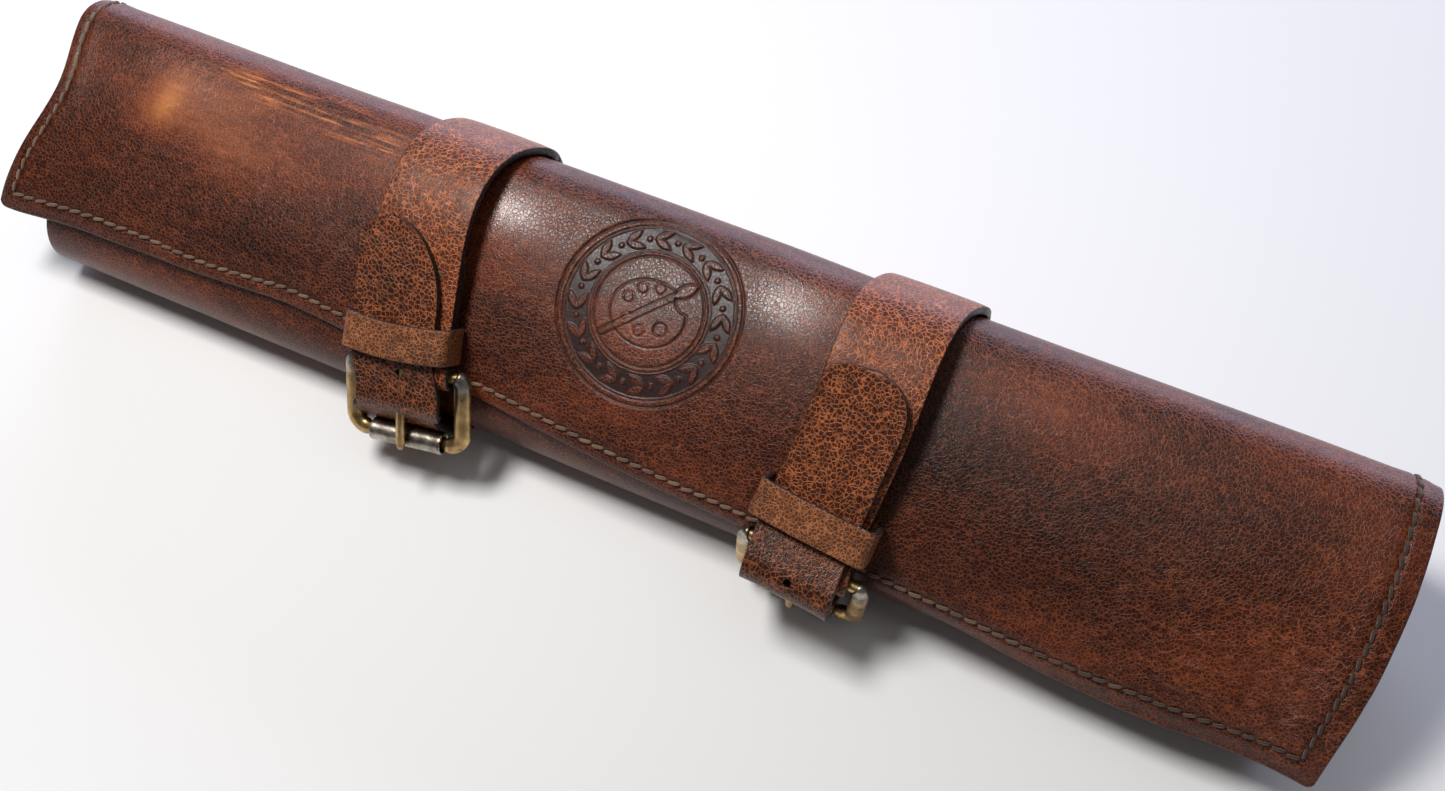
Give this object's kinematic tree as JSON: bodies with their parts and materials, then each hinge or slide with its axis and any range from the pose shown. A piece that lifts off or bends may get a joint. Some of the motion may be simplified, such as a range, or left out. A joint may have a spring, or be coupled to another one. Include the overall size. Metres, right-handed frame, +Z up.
{
  "type": "brush roll case",
  "caption": "Rolled leather brush case with a stitched flap, two belts with roller buckles, keepers and a pressed round emblem, and a pocketed roll inside.",
  "frame": {"origin": "centre of the bounding box at its lowest face, where the two belts rest on the surface", "axes": "+X along the roll, -Y towards the front with the buckles, +Z up"},
  "size_m": [0.38, 0.091, 0.0657],
  "materials": {
    "case_leather": "waxed pull-up leather, chestnut with dark patches",
    "belt_leather": "crackle-grained waxed leather",
    "keeper_leather": "plain waxed leather",
    "pocket_leather": "thin matt leather",
    "suede": "taupe suede",
    "thread": "waxed tan thread",
    "antique_brass": "antique brass, worn"
  },
  "bodies": {
    "root": {"roll_leather": "case_leather", "roll_lining": "suede", "pocket_panel": "pocket_leather", "pocket_stitching": "thread", "tip_guard": "suede", "left_belt_base": "belt_leather", "left_anchor_stitching": "thread", "right_belt_base": "belt_leather", "right_anchor_stitching": "thread"},
    "flap": {"flap_leather": "case_leather", "flap_lining": "suede", "flap_stitching": "thread"},
    "left_belt": {"left_belt_top": "belt_leather", "left_fold_stitching": "thread"},
    "left_keeper": {"left_keeper": "keeper_leather"},
    "left_buckle": {"left_buckle_frame": "antique_brass"},
    "left_roller": {"left_roller": "antique_brass"},
    "left_prong": {"left_prong": "antique_brass"},
    "left_tail": {"left_belt_tail": "belt_leather"},
    "right_belt": {"right_belt_top": "belt_leather", "right_fold_stitching": "thread"},
    "right_keeper": {"right_keeper": "keeper_leather"},
    "right_buckle": {"right_buckle_frame": "antique_brass"},
    "right_roller": {"right_roller": "antique_brass"},
    "right_prong": {"right_prong": "antique_brass"},
    "right_tail": {"right_belt_tail": "belt_leather"}
  },
  "joints": [
    {"name": "flap_hinge", "type": "hinge", "parent": "root", "child": "flap", "pos_m": [0, 0.03899, 0.05039], "axis": [-1, 0, 0], "range_deg": [0, 130]},
    {"name": "left_belt_lift", "type": "hinge", "parent": "flap", "child": "left_belt", "pos_m": [-0.0615, 0.03899, 0.05039], "axis": [-1, 0, 0], "range_deg": [0, 50]},
    {"name": "left_keeper_slide", "type": "slide", "parent": "left_belt", "child": "left_keeper", "axis": [-0.1564, 0.7454, 0.648], "range_m": [0, 0.006]},
    {"name": "left_buckle_tilt", "type": "hinge", "parent": "left_belt", "child": "left_buckle", "pos_m": [-0.055, -0.02956, 0.03332], "axis": [-0.9877, -0.1181, -0.1026], "range_deg": [0, 45]},
    {"name": "left_prong_tilt", "type": "hinge", "parent": "left_buckle", "child": "left_prong", "pos_m": [-0.055, -0.02956, 0.03332], "axis": [-0.9877, -0.1181, -0.1026], "range_deg": [0, 80]},
    {"name": "left_roller_spin", "type": "hinge", "parent": "left_buckle", "child": "left_roller", "pos_m": [-0.05202, -0.03968, 0.01633], "axis": [0.9877, 0.1181, 0.1026], "continuous": true},
    {"name": "left_tail_swing", "type": "hinge", "parent": "root", "child": "left_tail", "pos_m": [-0.053, -0.02423, 0.00277], "axis": [1, 0, 0], "range_deg": [0, 45], "deforming": ["left_belt_tail"]},
    {"name": "right_belt_lift", "type": "hinge", "parent": "flap", "child": "right_belt", "pos_m": [0.062, 0.03899, 0.05039], "axis": [-1, 0, 0], "range_deg": [0, 50]},
    {"name": "right_keeper_slide", "type": "slide", "parent": "right_belt", "child": "right_keeper", "axis": [0.0872, 0.7403, 0.6666], "range_m": [0, 0.006]},
    {"name": "right_buckle_tilt", "type": "hinge", "parent": "right_belt", "child": "right_buckle", "pos_m": [0.0596, -0.03479, 0.0283], "axis": [-0.9962, 0.0648, 0.0583], "range_deg": [0, 45]},
    {"name": "right_prong_tilt", "type": "hinge", "parent": "right_buckle", "child": "right_prong", "pos_m": [0.0596, -0.03479, 0.0283], "axis": [-0.9962, 0.0648, 0.0583], "range_deg": [0, 80]},
    {"name": "right_roller_spin", "type": "hinge", "parent": "right_buckle", "child": "right_roller", "pos_m": [0.05853, -0.03336, 0.00838], "axis": [0.9962, -0.0648, -0.0583], "continuous": true},
    {"name": "right_tail_swing", "type": "hinge", "parent": "root", "child": "right_tail", "pos_m": [0.0585, -0.02423, 0.00277], "axis": [1, 0, 0], "range_deg": [0, 45], "deforming": ["right_belt_tail"]}
  ]
}
